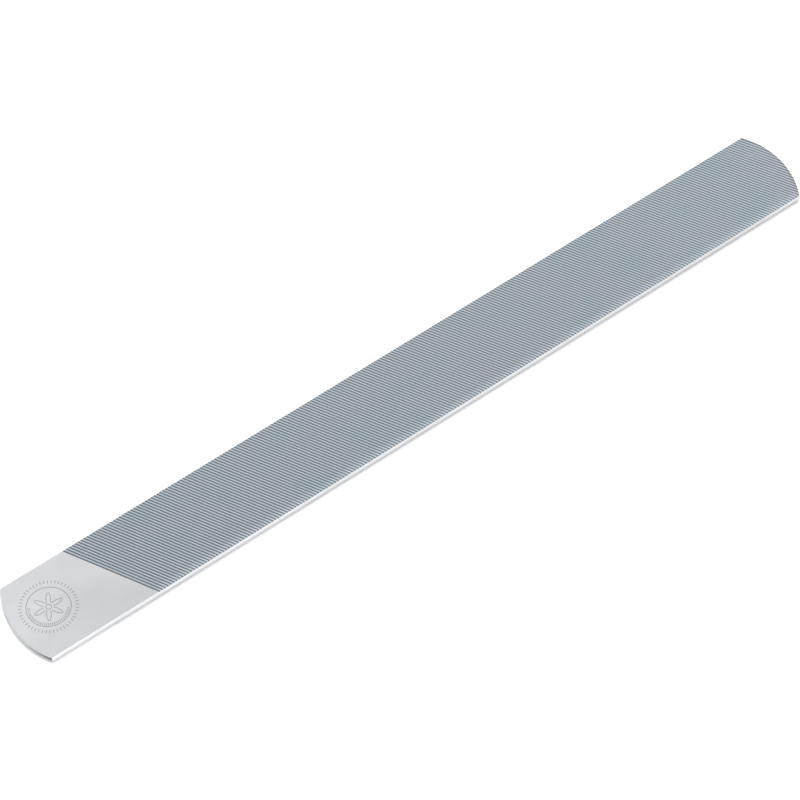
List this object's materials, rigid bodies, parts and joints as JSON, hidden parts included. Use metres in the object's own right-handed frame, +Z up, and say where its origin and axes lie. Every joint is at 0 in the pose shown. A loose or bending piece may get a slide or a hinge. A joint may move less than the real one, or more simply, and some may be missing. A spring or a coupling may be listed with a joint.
{
  "type": "wood rasp",
  "caption": "Flat tangless steel rasp with rounded ends, straight diagonal milled teeth on its faces and a smooth holding end, for shaping wood by hand.",
  "frame": {"origin": "centre of the plan outline, in the plane of the lower tooth tips that the rasp lies on", "axes": "+X along the blade from the smooth holding end to the toothed tip, +Y across the width, +Z up, out of the upper face"},
  "size_m": [0.35, 0.035, 0.004],
  "materials": {
    "blade_steel": "satin ground, with bare milled teeth"
  },
  "bodies": {
    "root": {"rasp_blade": "blade_steel"}
  },
  "joints": []
}
